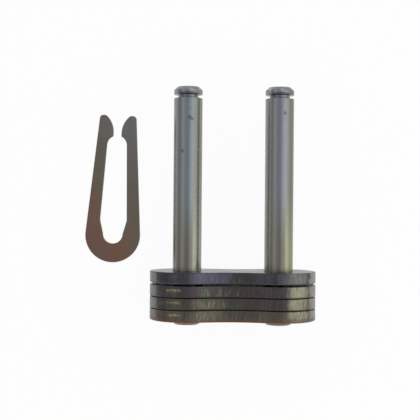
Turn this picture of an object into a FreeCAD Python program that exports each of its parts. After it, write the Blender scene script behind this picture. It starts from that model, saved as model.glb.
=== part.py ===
import FreeCAD, Part
import math
import os
import re
import Sketcher

# A two-strand connecting link of a roller chain, opened: two pins riveted into the outer plate,
# two middle plates and a cover plate loose on the pins, and the spring clip lying beside them.
# The link lies on the edges of its plates. X runs along the pitch, Y along the pins towards
# their free ends and Z up. The origin is on the table, under the middle of the whole set.

DRIVING_SIZES = [
    ("pitch", 19.05),
    ("pin_dia", 5.96),
    ("plate_height", 15.4),
    ("waist_width", 12.0),
    ("plate_thick", 2.42),
    ("strand_room", 17.94),
    ("edge_roll", 0.30),
    ("edge_break", 0.12),
    ("hole_break", 0.18),
    ("slide_clearance", 0.05),
    ("stack_gap", 0.05),
    ("cover_gap", 0.30),
    ("rivet_dia", 6.12),
    ("rivet_length", 1.02),
    ("rivet_bevel", 0.56),
    ("clip_play", 0.32),
    ("clip_thick", 0.70),
    ("groove_side_play", 0.06),
    ("groove_dia", 4.16),
    ("head_thick", 1.62),
    ("head_bevel", 0.68),
    ("groove_break", 0.06),
    ("clip_seat_play", 0.05),
    ("clip_end_wall", 3.77),
    ("clip_end_shift", 0.30),
    ("clip_slot_width", 5.76),
    ("clip_neck_length", 2.9),
    ("clip_neck_round", 3.0),
    ("clip_throat", 1.72),
    ("clip_barb_length", 0.80),
    ("clip_cheek_length", 3.75),
    ("clip_tip_width", 7.82),
    ("clip_tip_wall", 1.30),
    ("clip_tip_roundness", 0.60),
    ("clip_barb_round", 0.30),
    ("clip_edge_break", 0.12),
    ("clip_side_gap", 2.68),
    ("clip_along", 17.44),
    ("clip_lean", 2.3),
]

# Rules that several sketches share, in the words of the sheet. Lengths along the pin start at
# the outer plate's outer face, and lengths along the clip at its closed seat's centre.
WAIST_RADIUS = ("((pitch ^ 2 + waist_width ^ 2 - plate_height ^ 2)"
                " / (4 * (plate_height - waist_width)))")
GROOVE_START = "(2 * strand_room + 4 * plate_thick + clip_play)"
GROOVE_END = "(%s + clip_thick + groove_side_play)" % GROOVE_START
SHANK_END = "(%s + head_thick)" % GROOVE_END
SEAT_RADIUS = "(groove_dia / 2 + clip_seat_play)"
CLIP_END_RADIUS = "(groove_dia / 2 + clip_seat_play + clip_end_wall)"
BARB_CORNER = "(pitch + sqrt(%s ^ 2 - (clip_throat / 2) ^ 2))" % SEAT_RADIUS
CHEEK_START = "(%s + clip_barb_length)" % BARB_CORNER
CLIP_TIP = "(%s + clip_cheek_length)" % CHEEK_START
MOUTH_WIDTH = "(clip_tip_width - 2 * clip_tip_wall)"

CUT_PAST = 1.0
THROUGH_ALL = 1
LINK_TURN = FreeCAD.Rotation(FreeCAD.Vector(1, 0, 0), -90)

document = FreeCAD.newDocument("connecting_link")


# Sizes
def make_sheet():
    sheet = document.addObject("Spreadsheet::Sheet", "Sizes")
    for row, (alias, number) in enumerate(DRIVING_SIZES, start=1):
        sheet.set("A%d" % row, alias.replace("_", " "))
        sheet.set("B%d" % row, str(number))
        sheet.setAlias("B%d" % row, alias)
    document.recompute()
    return sheet


sizes = make_sheet()


def value(formula):
    return float(sizes.evalExpression(formula))


def bind(target, path, formula):
    # Outside the sheet an alias needs the sheet's name before it.
    aliases = [alias for alias, number in DRIVING_SIZES]
    target.setExpression(path, re.sub(r"\b(%s)\b" % "|".join(aliases), r"Sizes.\1", formula))


# Helpers for bodies and sketches
def new_body(label):
    body = document.addObject("PartDesign::Body", label)
    body.Label = label
    return body


def new_sketch(body, name, role, level=None):
    sketch = body.newObject("Sketcher::SketchObject", name)
    plane = [item for item in body.Origin.OriginFeatures if item.Role == role][0]
    sketch.AttachmentSupport = (plane, [""])
    sketch.MapMode = "FlatFace"
    if level is not None:
        bind(sketch, "AttachmentOffset.Base.z", level)
    return sketch


def dimension(sketch, name, formula, kind, *where):
    index = sketch.addConstraint(Sketcher.Constraint(kind, *where, value(formula)))
    sketch.renameConstraint(index, name)
    bind(sketch, "Constraints." + name, formula)


def point(across, along):
    return FreeCAD.Vector(across, along, 0)


def add_arc(sketch, centre, radius, start_angle, end_angle):
    circle = Part.Circle(point(*centre), FreeCAD.Vector(0, 0, 1), radius)
    return sketch.addGeometry(Part.ArcOfCircle(circle, start_angle, end_angle), False)


def add_line(sketch, start, end):
    return sketch.addGeometry(Part.LineSegment(point(*start), point(*end)), False)


def add_circle(sketch, centre, radius):
    circle = Part.Circle(point(*centre), FreeCAD.Vector(0, 0, 1), radius)
    return sketch.addGeometry(circle, False)


def join(sketch, first, first_end, second, second_end, kind="Coincident"):
    sketch.addConstraint(Sketcher.Constraint(kind, first, first_end, second, second_end))


def pad(body, name, sketch, length):
    feature = body.newObject("PartDesign::Pad", name)
    feature.Profile = sketch
    bind(feature, "Length", length)
    document.recompute()
    return feature


def pocket(body, name, sketch):
    # The sketch lies on the lower face, so the cut runs up through the whole blank.
    before = body.Shape.Volume
    feature = body.newObject("PartDesign::Pocket", name)
    feature.Profile = sketch
    feature.Type = THROUGH_ALL
    feature.Reversed = True
    document.recompute()
    if not body.Shape.Volume < before:
        raise RuntimeError(name + " cuts nothing")
    return feature


def flat_edges(feature, level, wanted):
    names = []
    for number, edge in enumerate(feature.Shape.Edges, start=1):
        box = edge.BoundBox
        flat = abs(box.ZMin - level) < 1e-4 and abs(box.ZMax - level) < 1e-4
        if flat and wanted(edge):
            names.append("Edge%d" % number)
    return names


def is_rim(edge):
    return edge.isClosed()


def is_outline(edge):
    return not edge.isClosed()


def upright_edges(feature, across, along, reach=0.05):
    names = []
    for number, edge in enumerate(feature.Shape.Edges, start=1):
        box = edge.BoundBox
        middle = box.Center
        near = abs(abs(middle.x) - across) < reach and abs(middle.y - along) < reach
        if near and box.XLength < reach and box.YLength < reach:
            names.append("Edge%d" % number)
    return names


def dress(body, name, kind, base, edge_names, amount):
    if not edge_names:
        raise RuntimeError(name + " finds no edge")
    feature = body.newObject("PartDesign::" + kind, name)
    feature.Base = (base, edge_names)
    bind(feature, "Radius" if kind == "Fillet" else "Size", amount)
    document.recompute()
    return feature


# Link plates
def draw_plate_outline(sketch):
    # Two round lobes about the pin centres, joined by two hollow waist arcs tangent to both.
    half_pitch = value("pitch / 2")
    lobe = value("plate_height / 2")
    hollow = value(WAIST_RADIUS)
    hollow_height = value("waist_width / 2") + hollow
    turn = math.atan2(hollow_height, half_pitch)
    right = add_arc(sketch, (half_pitch, 0), lobe, turn - math.pi, math.pi - turn)
    left = add_arc(sketch, (-half_pitch, 0), lobe, turn, 2 * math.pi - turn)
    upper = add_arc(sketch, (0, hollow_height), hollow, turn + math.pi, 2 * math.pi - turn)
    lower = add_arc(sketch, (0, -hollow_height), hollow, turn, math.pi - turn)
    sketch.addConstraint(Sketcher.Constraint("PointOnObject", right, 3, -1))
    sketch.addConstraint(Sketcher.Constraint("Symmetric", left, 3, right, 3, -1, 1))
    dimension(sketch, "Pitch", "pitch", "DistanceX", left, 3, right, 3)
    dimension(sketch, "Lobe", "plate_height / 2", "Radius", right)
    sketch.addConstraint(Sketcher.Constraint("Equal", right, left))
    dimension(sketch, "Hollow", WAIST_RADIUS, "Radius", upper)
    sketch.addConstraint(Sketcher.Constraint("Equal", upper, lower))
    join(sketch, right, 2, upper, 2, "Tangent")
    join(sketch, right, 1, lower, 1, "Tangent")
    join(sketch, left, 1, upper, 1, "Tangent")
    join(sketch, left, 2, lower, 2, "Tangent")


def draw_pin_holes(sketch, radius):
    half_pitch = value("pitch / 2")
    left = add_circle(sketch, (-half_pitch, 0), value(radius))
    right = add_circle(sketch, (half_pitch, 0), value(radius))
    sketch.addConstraint(Sketcher.Constraint("PointOnObject", right, 3, -1))
    sketch.addConstraint(Sketcher.Constraint("Symmetric", left, 3, right, 3, -1, 1))
    dimension(sketch, "Pitch", "pitch", "DistanceX", left, 3, right, 3)
    dimension(sketch, "Bore", radius, "Radius", right)
    sketch.addConstraint(Sketcher.Constraint("Equal", left, right))


def make_plate(label, hole_radius):
    # Stamping rolls the outline's edge over on the lower face and leaves it nearly sharp above.
    body = new_body(label)
    outline = new_sketch(body, label + "_outline", "XY_Plane")
    draw_plate_outline(outline)
    pad(body, label + "_blank", outline, "plate_thick")
    holes = new_sketch(body, label + "_hole_centres", "XY_Plane")
    draw_pin_holes(holes, hole_radius)
    bored = pocket(body, label + "_pin_holes", holes)
    thick = value("plate_thick")
    rolled = dress(body, label + "_rolled_edge", "Fillet", bored,
                   flat_edges(bored, 0, is_outline), "edge_roll")
    broken = dress(body, label + "_burr_edge", "Fillet", rolled,
                   flat_edges(rolled, thick, is_outline), "edge_break")
    rims = flat_edges(broken, 0, is_rim) + flat_edges(broken, thick, is_rim)
    dress(body, label + "_hole_rims", "Chamfer", broken, rims, "hole_break")
    return body


# Pins
def draw_round(sketch, name, radius):
    circle = add_circle(sketch, (0, 0), value(radius))
    join(sketch, circle, 3, -1, 1)
    dimension(sketch, name, radius, "Radius", circle)


def draw_groove_section(sketch):
    core = "groove_dia / 2"
    outside = "pin_dia / 2 + %g" % CUT_PAST
    inner, outer = value(core), value(outside)
    start, end = value(GROOVE_START), value(GROOVE_END)
    corners = [(inner, start), (outer, start), (outer, end), (inner, end)]
    sides = [add_line(sketch, corners[i], corners[(i + 1) % 4]) for i in range(4)]
    for i in range(4):
        join(sketch, sides[i], 2, sides[(i + 1) % 4], 1)
    for side, kind in zip(sides, ("Horizontal", "Vertical", "Horizontal", "Vertical")):
        sketch.addConstraint(Sketcher.Constraint(kind, side))
    dimension(sketch, "Core", core, "DistanceX", -1, 1, sides[0], 1)
    dimension(sketch, "Outside", outside, "DistanceX", -1, 1, sides[0], 2)
    dimension(sketch, "Start", GROOVE_START, "DistanceY", -1, 1, sides[0], 1)
    dimension(sketch, "End", GROOVE_END, "DistanceY", -1, 1, sides[2], 1)


def cut_groove(body, label):
    section = new_sketch(body, label + "_groove_section", "XZ_Plane")
    draw_groove_section(section)
    before = body.Shape.Volume
    groove = body.newObject("PartDesign::Groove", label + "_clip_groove")
    groove.Profile = section
    groove.ReferenceAxis = (section, ["V_Axis"])
    groove.Angle = 360
    document.recompute()
    if not body.Shape.Volume < before:
        raise RuntimeError(label + " has no clip groove")
    return groove


def make_pin(label):
    # A turned pin: its riveted end below the outer plate, a plain shank, the clip groove, a head.
    body = new_body(label)
    rivet_round = new_sketch(body, label + "_rivet_round", "XY_Plane", "0 - rivet_length")
    draw_round(rivet_round, "Rivet", "rivet_dia / 2")
    pad(body, label + "_rivet", rivet_round, "rivet_length")
    shank_round = new_sketch(body, label + "_shank_round", "XY_Plane")
    draw_round(shank_round, "Shank", "pin_dia / 2")
    pad(body, label + "_shank", shank_round, SHANK_END)
    groove = cut_groove(body, label)
    head = dress(body, label + "_head_bevel", "Chamfer", groove,
                 flat_edges(groove, value(SHANK_END), is_rim), "head_bevel")
    rivet = dress(body, label + "_rivet_bevel", "Chamfer", head,
                  flat_edges(head, value("0 - rivet_length"), is_rim), "rivet_bevel")
    core_reach = value("groove_dia / 2") + 1e-3
    shoulders = []
    for level in (value(GROOVE_START), value(GROOVE_END)):
        shoulders += flat_edges(rivet, level, lambda edge: edge.BoundBox.XMax > core_reach)
    dress(body, label + "_groove_edges", "Chamfer", rivet, shoulders, "groove_break")
    return body


# Spring clip
def draw_clip_blank(sketch):
    # The round closed end and two straight sides that taper to the tips.
    outer = value(CLIP_END_RADIUS)
    shift = value("clip_end_shift")
    tip = value(CLIP_TIP)
    half_tip = value("clip_tip_width / 2")
    reach = math.hypot(half_tip, tip + shift)
    lean = math.atan2(half_tip, tip + shift)
    turn = math.pi / 2 - lean - math.acos(outer / reach)
    touch = (outer * math.cos(turn), outer * math.sin(turn) - shift)
    end = add_arc(sketch, (0, -shift), outer, math.pi - turn, 2 * math.pi + turn)
    right = add_line(sketch, touch, (half_tip, tip))
    top = add_line(sketch, (half_tip, tip), (-half_tip, tip))
    left = add_line(sketch, (-half_tip, tip), (-touch[0], touch[1]))
    sketch.addConstraint(Sketcher.Constraint("PointOnObject", end, 3, -2))
    dimension(sketch, "Shift", "clip_end_shift", "DistanceY", end, 3, -1, 1)
    dimension(sketch, "End", CLIP_END_RADIUS, "Radius", end)
    join(sketch, end, 2, right, 1, "Tangent")
    join(sketch, left, 2, end, 1, "Tangent")
    join(sketch, right, 2, top, 1)
    join(sketch, top, 2, left, 1)
    sketch.addConstraint(Sketcher.Constraint("Symmetric", top, 1, top, 2, -2))
    dimension(sketch, "Tip", CLIP_TIP, "DistanceY", -1, 1, top, 1)
    dimension(sketch, "Width", "clip_tip_width", "DistanceX", top, 2, top, 1)


def draw_open_seat(sketch):
    # The round behind the barbs, which closes on the far pin's groove.
    circle = add_circle(sketch, (0, value("pitch")), value(SEAT_RADIUS))
    sketch.addConstraint(Sketcher.Constraint("PointOnObject", circle, 3, -2))
    dimension(sketch, "Along", "pitch", "DistanceY", -1, 1, circle, 3)
    dimension(sketch, "Seat", SEAT_RADIUS, "Radius", circle)


def draw_clip_slot(sketch):
    # The closed seat's lower half, a short flare out of it, then walls that draw together up to
    # the open seat's widest point.
    seat = value(SEAT_RADIUS)
    wide = value("clip_slot_width / 2")
    neck = value("clip_neck_length")
    far = value("pitch")
    corners = [(seat, 0), (wide, neck), (seat, far), (-seat, far), (-wide, neck), (-seat, 0)]
    closed = add_arc(sketch, (0, 0), seat, math.pi, 2 * math.pi)
    sides = [add_line(sketch, corners[i], corners[i + 1]) for i in range(5)]
    for i in range(4):
        join(sketch, sides[i], 2, sides[i + 1], 1)
    join(sketch, closed, 2, sides[0], 1)
    join(sketch, sides[4], 2, closed, 1)
    join(sketch, closed, 3, -1, 1)
    sketch.addConstraint(Sketcher.Constraint("PointOnObject", closed, 1, -1))
    sketch.addConstraint(Sketcher.Constraint("PointOnObject", closed, 2, -1))
    sketch.addConstraint(Sketcher.Constraint("Symmetric", sides[1], 1, sides[4], 1, -2))
    sketch.addConstraint(Sketcher.Constraint("Symmetric", sides[2], 1, sides[3], 1, -2))
    dimension(sketch, "Seat", SEAT_RADIUS, "Radius", closed)
    dimension(sketch, "Wide", "clip_slot_width", "DistanceX", sides[4], 1, sides[1], 1)
    dimension(sketch, "Mouth", "2 * " + SEAT_RADIUS, "DistanceX", sides[3], 1, sides[2], 1)
    dimension(sketch, "Neck", "clip_neck_length", "DistanceY", -1, 1, sides[1], 1)
    dimension(sketch, "Far", "pitch", "DistanceY", -1, 1, sides[2], 1)


def draw_clip_mouth(sketch):
    # The throat between the barbs, then two round cheeks that flare to the inner tip corners.
    # Past the tips the cut runs straight on, clear of the blank.
    throat = value("clip_throat / 2")
    mouth = value(MOUTH_WIDTH) / 2
    start = value("pitch")
    barb = value(CHEEK_START)
    tip = value(CLIP_TIP)
    beyond = "%s + %g" % (CLIP_TIP, CUT_PAST)
    flare, rise = mouth - throat, tip - barb
    cheek = (rise ** 2 + flare ** 2) / (2 * flare)
    span = math.atan2(rise, cheek - flare)
    foot = add_line(sketch, (-throat, start), (throat, start))
    right = add_line(sketch, (throat, start), (throat, barb))
    right_cheek = add_arc(sketch, (throat + cheek, barb), cheek, math.pi - span, math.pi)
    right_lip = add_line(sketch, (mouth, tip), (mouth, value(beyond)))
    top = add_line(sketch, (mouth, value(beyond)), (-mouth, value(beyond)))
    left_lip = add_line(sketch, (-mouth, value(beyond)), (-mouth, tip))
    left_cheek = add_arc(sketch, (-throat - cheek, barb), cheek, 0, span)
    left = add_line(sketch, (-throat, barb), (-throat, start))
    join(sketch, foot, 2, right, 1)
    join(sketch, right, 2, right_cheek, 2, "Tangent")
    join(sketch, right_cheek, 1, right_lip, 1)
    join(sketch, right_lip, 2, top, 1)
    join(sketch, top, 2, left_lip, 1)
    join(sketch, left_lip, 2, left_cheek, 2)
    join(sketch, left_cheek, 1, left, 1, "Tangent")
    join(sketch, left, 2, foot, 1)
    sketch.addConstraint(Sketcher.Constraint("Symmetric", foot, 1, foot, 2, -2))
    sketch.addConstraint(Sketcher.Constraint("Symmetric", left_cheek, 2, right_cheek, 1, -2))
    for side in (right, left, right_lip, left_lip):
        sketch.addConstraint(Sketcher.Constraint("Vertical", side))
    sketch.addConstraint(Sketcher.Constraint("Equal", left, right))
    sketch.addConstraint(Sketcher.Constraint("Horizontal", top))
    dimension(sketch, "Throat", "clip_throat", "DistanceX", foot, 1, foot, 2)
    dimension(sketch, "Start", "pitch", "DistanceY", -1, 1, foot, 1)
    dimension(sketch, "Barb", CHEEK_START, "DistanceY", -1, 1, right, 2)
    dimension(sketch, "Mouth", MOUTH_WIDTH, "DistanceX", left_cheek, 2, right_cheek, 1)
    dimension(sketch, "Tip", CLIP_TIP, "DistanceY", -1, 1, right_cheek, 1)
    dimension(sketch, "Beyond", beyond, "DistanceY", -1, 1, top, 1)


def make_clip(label):
    body = new_body(label)
    blank = new_sketch(body, label + "_blank_outline", "XY_Plane")
    draw_clip_blank(blank)
    pad(body, label + "_blank", blank, "clip_thick")
    slot = new_sketch(body, label + "_slot_outline", "XY_Plane")
    draw_clip_slot(slot)
    slotted = pocket(body, label + "_slot", slot)
    neck_edges = upright_edges(slotted, value("clip_slot_width / 2"), value("clip_neck_length"))
    dress(body, label + "_neck", "Fillet", slotted, neck_edges, "clip_neck_round")
    seat = new_sketch(body, label + "_open_seat_round", "XY_Plane")
    draw_open_seat(seat)
    pocket(body, label + "_open_seat", seat)
    mouth = new_sketch(body, label + "_mouth_outline", "XY_Plane")
    draw_clip_mouth(mouth)
    opened = pocket(body, label + "_mouth", mouth)
    return round_clip(body, label, opened)


def round_clip(body, label, opened):
    tips = upright_edges(opened, value("clip_tip_width / 2"), value(CLIP_TIP))
    tips += upright_edges(opened, value(MOUTH_WIDTH) / 2, value(CLIP_TIP))
    rounded = dress(body, label + "_tips", "Fillet", opened, tips,
                    "clip_tip_wall * clip_tip_roundness")
    barbs = upright_edges(rounded, value("clip_throat / 2"), value(BARB_CORNER))
    barbed = dress(body, label + "_barbs", "Fillet", rounded, barbs, "clip_barb_round")
    rims = flat_edges(barbed, 0, is_outline) + flat_edges(barbed, value("clip_thick"), is_outline)
    dress(body, label + "_edges", "Chamfer", barbed, rims, "clip_edge_break")
    return body


# The set, as it lies on the table
def lay_on_edge(body, along_pins, across=0.0):
    base = FreeCAD.Vector(across, along_pins, value("plate_height / 2"))
    body.Placement = FreeCAD.Placement(base, LINK_TURN)


def make_set():
    tight = "pin_dia / 2"
    loose = "pin_dia / 2 + slide_clearance"
    plates = [
        (make_plate("outer_plate", tight), 0),
        (make_plate("lower_middle_plate", loose), value("stack_gap")),
        (make_plate("upper_middle_plate", loose), value("stack_gap")),
        (make_plate("cover_plate", loose), value("cover_gap")),
    ]
    level = 0
    for plate, gap_below in plates:
        lay_on_edge(plate, level + gap_below)
        level += gap_below + value("plate_thick")
    left_pin = make_pin("left_pin")
    right_pin = make_pin("right_pin")
    lay_on_edge(left_pin, 0, -value("pitch / 2"))
    lay_on_edge(right_pin, 0, value("pitch / 2"))
    clip = make_clip("spring_clip")
    clip_across = "0 - pitch / 2 - plate_height / 2 - clip_side_gap - " + CLIP_END_RADIUS
    clip_base = FreeCAD.Vector(value(clip_across), value("clip_along"), 0)
    clip_turn = FreeCAD.Rotation(FreeCAD.Vector(0, 0, 1), -value("clip_lean"))
    clip.Placement = FreeCAD.Placement(clip_base, clip_turn)
    document.recompute()
    return [plate for plate, gap_below in plates] + [left_pin, right_pin, clip]


def centre_over_footprint(bodies):
    boxes = [body.Shape.optimalBoundingBox() for body in bodies]
    across = (min(box.XMin for box in boxes) + max(box.XMax for box in boxes)) / 2
    along = (min(box.YMin for box in boxes) + max(box.YMax for box in boxes)) / 2
    for body in bodies:
        moved = body.Placement
        moved.Base = moved.Base - FreeCAD.Vector(across, along, 0)
        body.Placement = moved
    document.recompute()


def check(bodies):
    for item in document.Objects:
        if "Invalid" in item.State or "Error" in item.State:
            raise RuntimeError(item.Name + " failed: " + ", ".join(item.State))
    for body in bodies:
        if body.Shape.isNull() or not body.Shape.isValid():
            raise RuntimeError(body.Label + " has no valid solid")
        if len(body.Shape.Solids) != 1:
            raise RuntimeError(body.Label + " is not one solid")


def write(bodies):
    os.makedirs("parts", exist_ok=True)
    for body in bodies:
        body.Shape.exportStep(os.path.join("parts", body.Label + ".step"))
        box = body.Shape.optimalBoundingBox()
        lows = (box.XMin, box.YMin, box.ZMin)
        highs = (box.XMax, box.YMax, box.ZMax)
        print(body.Label, "volume %.2f" % body.Shape.Volume,
              "low %.3f %.3f %.3f" % lows, "high %.3f %.3f %.3f" % highs)


pieces = make_set()
centre_over_footprint(pieces)
check(pieces)
write(pieces)
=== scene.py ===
# %% [markdown]
# The object is a connecting link for a roller chain with two strands, taken apart: two long
# pins riveted into one plate, three loose plates still on the pins, and the spring clip that
# would lock them, lying beside the link. This lesson dresses the seven solids of the frame.
# Every dressed piece keeps the place and size of its solid. What it gains is the look of the
# real steel: rolled and torn plate edges, ground pins, and the colours that heat leaves.

import math
from types import SimpleNamespace

import bmesh
import bpy
from mathutils import Matrix, Vector


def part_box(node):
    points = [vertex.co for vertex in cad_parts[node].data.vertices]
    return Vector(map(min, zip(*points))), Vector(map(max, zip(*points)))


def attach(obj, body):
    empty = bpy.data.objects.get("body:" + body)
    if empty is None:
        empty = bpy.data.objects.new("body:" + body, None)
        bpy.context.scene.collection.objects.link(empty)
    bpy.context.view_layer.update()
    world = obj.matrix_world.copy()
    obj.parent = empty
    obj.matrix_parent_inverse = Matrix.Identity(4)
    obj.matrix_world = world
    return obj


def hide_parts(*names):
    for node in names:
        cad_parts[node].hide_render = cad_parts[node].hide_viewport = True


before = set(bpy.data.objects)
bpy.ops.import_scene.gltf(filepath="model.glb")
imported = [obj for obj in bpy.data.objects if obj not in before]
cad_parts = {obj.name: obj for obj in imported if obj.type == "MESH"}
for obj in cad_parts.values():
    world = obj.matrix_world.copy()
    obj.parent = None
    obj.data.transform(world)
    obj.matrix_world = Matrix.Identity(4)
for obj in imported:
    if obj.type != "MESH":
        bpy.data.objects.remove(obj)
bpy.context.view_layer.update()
print("solids in the frame:", sorted(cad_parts))

# %% [markdown]
# Blender works in metres and a chain is measured in millimetres. All shapes below are built in
# millimetres, and one matrix per piece scales and places them. The sizes come from the boxes
# of the solids wherever a box can give them.

# %% Sizes from the frame, in millimetres
MM = 0.001


def box_mm(node):
    low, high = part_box(node)
    return low / MM, high / MM


plate_low, plate_high = box_mm("outer_plate")
pin_low, pin_high = box_mm("left_pin")
right_low, right_high = box_mm("right_pin")
clip_low, clip_high = box_mm("spring_clip")

LOBE = (plate_high.z - plate_low.z) / 2
PLATE_THICK = plate_high.y - plate_low.y
LEFT_PIN = (pin_low.x + pin_high.x) / 2
RIGHT_PIN = (right_low.x + right_high.x) / 2
PITCH = RIGHT_PIN - LEFT_PIN
LINK_MIDDLE = (LEFT_PIN + RIGHT_PIN) / 2
PIN_LEVEL = (plate_low.z + plate_high.z) / 2
OUTER_FACE = plate_low.y
RIVET_LENGTH = OUTER_FACE - pin_low.y
PIN_TIP = pin_high.y - OUTER_FACE
RIVET_RADIUS = (pin_high.x - pin_low.x) / 2
CLIP_THICK = clip_high.z - clip_low.z
print("pitch %.2f  lobe %.2f  plate %.2f  pin reach %.2f" % (PITCH, LOBE, PLATE_THICK, PIN_TIP))

# %% [markdown]
# A box says nothing about what lies inside it: the waist of a plate, the bores, the rounded
# edges, the bevels and the groove of a pin. These are the values that the solids are drawn
# with, so the dressed pieces fit them.

# %% Sizes that no box shows, in millimetres
WAIST_WIDTH = 12.0
PIN_RADIUS = 2.98
LOOSE_HOLE = 3.03
EDGE_ROLL = 0.30
BURR_ROUND = 0.12
HOLE_ROUND = 0.18
HEAD_LENGTH = 1.62
HEAD_BEVEL = 0.68
RIVET_BEVEL = 0.56
GROOVE_WIDTH = 0.76
GROOVE_RADIUS = 2.08
GROOVE_BREAK = 0.06
CORNER_ROUND = 0.07
WELD_GAP = 0.002
print("waist %.1f  pin %.2f  loose bore %.2f" % (WAIST_WIDTH, 2 * PIN_RADIUS, 2 * LOOSE_HOLE))

# %% [markdown]
# The camera comes first, because everything else is judged through it. The photograph was
# taken from straight above with a lens about 195 mm over the pins, and the picture shows
# 4.8 pixels for each millimetre at that height. Those two facts give the angle of view. The
# camera has a very small roll, and no shift is needed.

# %% Camera
CAMERA_RISE = 195.0
PICTURE_PIXELS = 420
PIXELS_PER_MM = 4.80
SENSOR_WIDTH = 36.0
AIM = Vector((2.416, -0.91))
ROLL = 0.0082


def add_object(name, data):
    made = bpy.data.objects.new(name, data)
    bpy.context.scene.collection.objects.link(made)
    return made


camera_data = bpy.data.cameras.new("camera")
camera_data.sensor_width = SENSOR_WIDTH
camera_data.lens = SENSOR_WIDTH * CAMERA_RISE / (PICTURE_PIXELS / PIXELS_PER_MM)
camera = add_object("camera", camera_data)
camera.location = (AIM.x * MM, AIM.y * MM, (PIN_LEVEL + CAMERA_RISE) * MM)
camera.rotation_euler = (0, 0, ROLL)
bpy.context.scene.camera = camera
print("lens %.1f mm" % camera_data.lens)

# %% [markdown]
# Small helpers keep the node trees readable. `add_node` makes a node, sets its options and
# joins or fills its sockets in one call, and it works in geometry and shader trees alike. The
# others are the sums and comparisons that the trees are written with.

# %% Helpers for node trees
def add_node(tree, kind, inputs=None, **options):
    made = tree.nodes.new(kind)
    for name, option in options.items():
        setattr(made, name, option)
    for place, given in (inputs or {}).items():
        if isinstance(given, bpy.types.NodeSocket):
            tree.links.new(given, made.inputs[place])
        else:
            made.inputs[place].default_value = given
    return made


def maths(tree, operation, *operands):
    places = dict(enumerate(operands))
    return add_node(tree, "ShaderNodeMath", places, operation=operation).outputs[0]


def product(tree, first, *factors):
    for factor in factors:
        first = maths(tree, "MULTIPLY", first, factor)
    return first


def one_minus(tree, value):
    return maths(tree, "SUBTRACT", 1.0, value)


def vector_maths(tree, operation, *operands):
    places = dict(enumerate(operands))
    return add_node(tree, "ShaderNodeVectorMath", places, operation=operation).outputs[0]


def scale_vector(tree, vector, scale):
    return add_node(tree, "ShaderNodeVectorMath", {0: vector, "Scale": scale},
                    operation="SCALE").outputs[0]


def vector_of(tree, x, y, z):
    return add_node(tree, "ShaderNodeCombineXYZ", {0: x, 1: y, 2: z}).outputs[0]


def parts_of(tree, vector):
    return add_node(tree, "ShaderNodeSeparateXYZ", {0: vector}).outputs


def smooth_step(tree, value, low, high):
    return add_node(tree, "ShaderNodeMapRange", {0: value, 1: low, 2: high},
                    interpolation_type="SMOOTHSTEP").outputs[0]


def smooth_window(tree, value, low, high, soft):
    """One between low and high, fading to nothing over the soft distance outside."""
    rise = smooth_step(tree, value, maths(tree, "SUBTRACT", low, soft), low)
    fall = smooth_step(tree, value, high, maths(tree, "ADD", high, soft))
    return product(tree, rise, one_minus(tree, fall))


def noise_in_mm(tree, place, stretch, seed, detail=3.0):
    """Noise whose grain is set per millimetre in each direction."""
    drawn = vector_maths(tree, "MULTIPLY", place, stretch)
    return add_node(tree, "ShaderNodeTexNoise",
                    {"Vector": drawn, "W": seed, "Scale": 1.0, "Detail": detail},
                    noise_dimensions="4D").outputs[0]


# %% [markdown]
# A node group is a tree with named sockets, so that whoever opens it in the editor sees what
# can be changed. The next helper makes one from a list of names, kinds and first values.

# %% A tree with named sockets
FLOAT = "NodeSocketFloat"
GEOMETRY = "NodeSocketGeometry"
MATERIAL = "NodeSocketMaterial"
COLOUR = "NodeSocketColor"
VECTOR = "NodeSocketVector"


def new_tree(name, kind, inputs, outputs):
    """Inputs are (name, socket type, first value), and outputs are (name, socket type)."""
    tree = bpy.data.node_groups.new(name, kind)
    for label, socket_type, first_value in inputs:
        socket = tree.interface.new_socket(label, in_out="INPUT", socket_type=socket_type)
        if first_value is not None:
            socket.default_value = first_value
    for label, socket_type in outputs:
        tree.interface.new_socket(label, in_out="OUTPUT", socket_type=socket_type)
    entry = tree.nodes.new("NodeGroupInput")
    exit_node = tree.nodes.new("NodeGroupOutput")
    return tree, entry.outputs, exit_node.inputs


# %% [markdown]
# A link plate is a figure eight: two round lobes about the pins, joined by two hollow arcs. A
# polygon drawn by hand would be stiff, and a boolean of cylinders would leave poor edges. The
# shape follows a rule, so Geometry Nodes build it. A circle of points is pushed out to the
# distance that the rule gives in each direction, and a small section with a rolled lower edge
# and a nearly sharp upper edge is swept along that outline.

# %% The plate's outline as a rule
PLATE_INPUTS = [
    ("Half Pitch", FLOAT, PITCH / 2),
    ("Lobe Radius", FLOAT, LOBE),
    ("Waist Half Width", FLOAT, WAIST_WIDTH / 2),
    ("Thickness", FLOAT, PLATE_THICK),
    ("Hole Radius", FLOAT, LOOSE_HOLE),
    ("Edge Roll", FLOAT, EDGE_ROLL),
    ("Burr Round", FLOAT, BURR_ROUND),
    ("Hole Round", FLOAT, HOLE_ROUND),
    ("Tear Start", FLOAT, -6.0),
    ("Tear End", FLOAT, 1.0),
    ("Tear Depth", FLOAT, 0.05),
    ("Seed", FLOAT, 1.0),
    ("Steel", MATERIAL, None),
]
OUTLINE_POINTS = 960
HOLE_POINTS = 96


def read_position(tree):
    return add_node(tree, "GeometryNodeInputPosition").outputs[0]


def is_less(tree, value, limit):
    return add_node(tree, "FunctionNodeCompare", {0: value, 1: limit},
                    data_type="FLOAT", operation="LESS_THAN").outputs[0]


def is_number(tree, number, wanted):
    return add_node(tree, "FunctionNodeCompare", {2: number, 3: wanted},
                    data_type="INT", operation="EQUAL").outputs[0]


def choose(tree, condition, when_not, when_so):
    return add_node(tree, "GeometryNodeSwitch", {0: condition, 1: when_not, 2: when_so},
                    input_type="FLOAT").outputs[0]


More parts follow.
